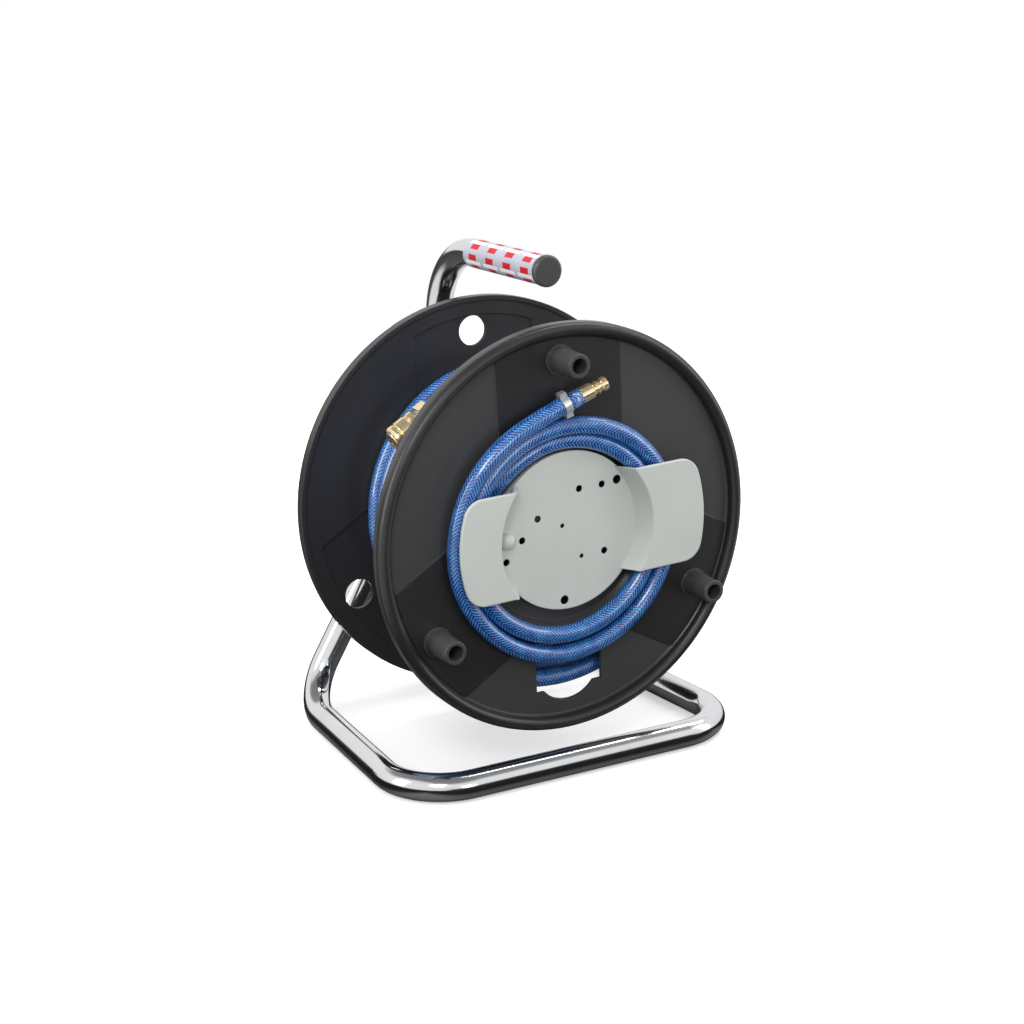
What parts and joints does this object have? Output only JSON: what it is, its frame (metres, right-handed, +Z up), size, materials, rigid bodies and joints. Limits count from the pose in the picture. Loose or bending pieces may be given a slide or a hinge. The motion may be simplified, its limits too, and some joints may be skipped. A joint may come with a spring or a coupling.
{
  "type": "hand-carried hose reel",
  "caption": "Air hose reel on a bent chromed tube stand: black drum on an axle, carrying grip, hose holder, and hose with plug nipple and quick coupler.",
  "frame": {"origin": "on the floor, under the middle of the stand and drum", "axes": "+Z up; the drum's axis runs along Y through (0, 0, 0.173) and its open, hose-holder side faces -Y; +X is to the right seen from that side"},
  "size_m": [0.29, 0.227, 0.3605],
  "materials": {
    "chromed_tube": "bright chrome on bent steel tube",
    "grip_print": "printed plastic sleeve, silver grey with small red and white marks",
    "black_plastic": "moulded black plastic",
    "zinc_steel": "bright zinc-plated steel",
    "drum_plastic": "moulded black plastic with a satin skin",
    "bush_plastic": "plain bearing plastic, natural colour",
    "grey_plastic": "moulded light grey plastic",
    "hose_pvc": "clear blue PVC with a light blue braid under the surface",
    "fitting_brass": "bright turned brass",
    "bright_steel": "bright spring and bearing steel",
    "seal_rubber": "black nitrile rubber"
  },
  "bodies": {
    "stand": {"frame_tube": "chromed_tube", "grip_sleeve": "grip_print", "grip_cap": "black_plastic", "leg_end_plug": "black_plastic", "axle_bracket": "black_plastic", "bracket_bolts": "zinc_steel", "bracket_nuts": "zinc_steel", "axle": "zinc_steel", "axle_washer": "zinc_steel", "axle_lock_nut": "zinc_steel", "thrust_washer": "zinc_steel"},
    "drum": {"drum_front": "drum_plastic", "drum_rear": "drum_plastic", "winding_pegs": "drum_plastic", "front_bush": "bush_plastic", "rear_bush": "bush_plastic", "core_tie_bolts": "zinc_steel", "core_tie_nuts": "zinc_steel", "hose_holder": "grey_plastic", "holder_screws": "zinc_steel", "hose_winding": "hose_pvc", "hose_slot_run": "hose_pvc", "hose_feed_coil": "hose_pvc", "hose_feed_tail": "hose_pvc", "hose_lead_out": "hose_pvc", "feed_clamp": "zinc_steel", "plug_nipple": "fitting_brass", "coupler_clamp": "zinc_steel", "coupler_body": "fitting_brass", "locking_balls": "bright_steel", "sleeve_spring": "bright_steel", "valve_spring": "bright_steel", "socket_seal": "seal_rubber", "sleeve_ring": "bright_steel"},
    "coupling_sleeve": {"coupler_sleeve": "fitting_brass"},
    "coupling_valve": {"coupler_valve": "fitting_brass"}
  },
  "joints": [
    {"name": "drum_spin", "type": "hinge", "parent": "stand", "child": "drum", "pos_m": [0, 0, 0.173], "axis": [0, 1, 0], "continuous": true},
    {"name": "sleeve_slide", "type": "slide", "parent": "drum", "child": "coupling_sleeve", "axis": [0.8508, 0, 0.5255], "range_m": [0, 0.004], "stiffness_N_per_m": 800, "springref_m": -0.002},
    {"name": "valve_slide", "type": "slide", "parent": "drum", "child": "coupling_valve", "axis": [0.8508, 0, 0.5255], "range_m": [0, 0.003], "stiffness_N_per_m": 400, "springref_m": -0.002}
  ]
}
